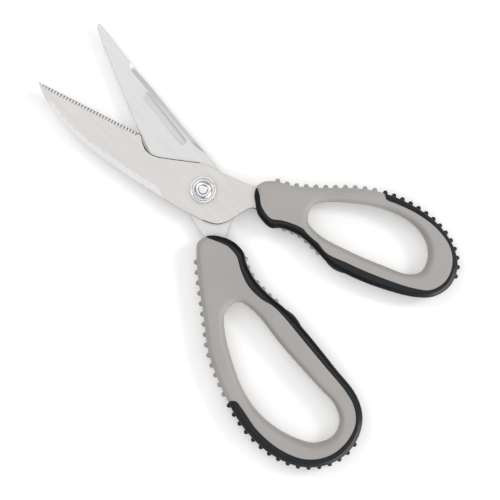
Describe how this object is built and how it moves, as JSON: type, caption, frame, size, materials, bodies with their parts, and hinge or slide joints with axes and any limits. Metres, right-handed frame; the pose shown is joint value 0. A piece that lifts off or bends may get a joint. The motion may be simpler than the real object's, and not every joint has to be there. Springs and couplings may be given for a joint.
{
  "type": "poultry shears",
  "caption": "Heavy kitchen shears: serrated blade with bone notch and scalloped back, plain rear blade, knurled pivot nut and two soft loop handles with nubbed rims.",
  "frame": {"origin": "on the pivot axis, at the flat back face of the pivot bolt's head", "axes": "+Y along the middle of the opening towards the blade tips, +Z out of the front face (the side of the knurled nut), X across, with the thumb handle on +X"},
  "size_m": [0.1443, 0.2419, 0.014],
  "materials": {
    "serrated_blade_steel": "satin, fine lengthwise grind",
    "plain_blade_steel": "satin",
    "pivot_steel": "polished",
    "washer_steel": "plain",
    "pin_steel": "plain",
    "grey_shell": "soft-touch matt",
    "grey_nub_strip": "matt",
    "black_rim": "satin",
    "black_bumper": "satin"
  },
  "bodies": {
    "finger_half": {"plain_blade": "plain_blade_steel", "pivot_bolt": "pivot_steel", "head_washer": "washer_steel", "spring_washer": "washer_steel", "finger_front_shell": "grey_shell", "finger_back_shell": "grey_shell", "finger_rim": "black_rim", "finger_grip_strip": "grey_nub_strip", "finger_throat_pad": "grey_nub_strip", "finger_bumper": "black_bumper", "finger_upper_pin": "pin_steel", "finger_lower_pin": "pin_steel"},
    "thumb_half": {"serrated_blade": "serrated_blade_steel", "thumb_front_shell": "grey_shell", "thumb_back_shell": "grey_shell", "thumb_rim": "black_rim", "thumb_grip_strip": "grey_nub_strip", "thumb_throat_pad": "grey_nub_strip", "thumb_bumper": "black_bumper", "thumb_upper_pin": "pin_steel", "thumb_lower_pin": "pin_steel"},
    "nut": {"pivot_nut": "pivot_steel"}
  },
  "joints": [
    {"name": "blade_pivot", "type": "hinge", "parent": "finger_half", "child": "thumb_half", "pos_m": [0, 0, 0.005], "axis": [0, 0, 1], "range_deg": [-22.6, 82]},
    {"name": "pivot_nut_turn", "type": "hinge", "parent": "finger_half", "child": "nut", "pos_m": [0, 0, 0.009], "axis": [0, 0, 1], "range_deg": [-45, 45]}
  ]
}
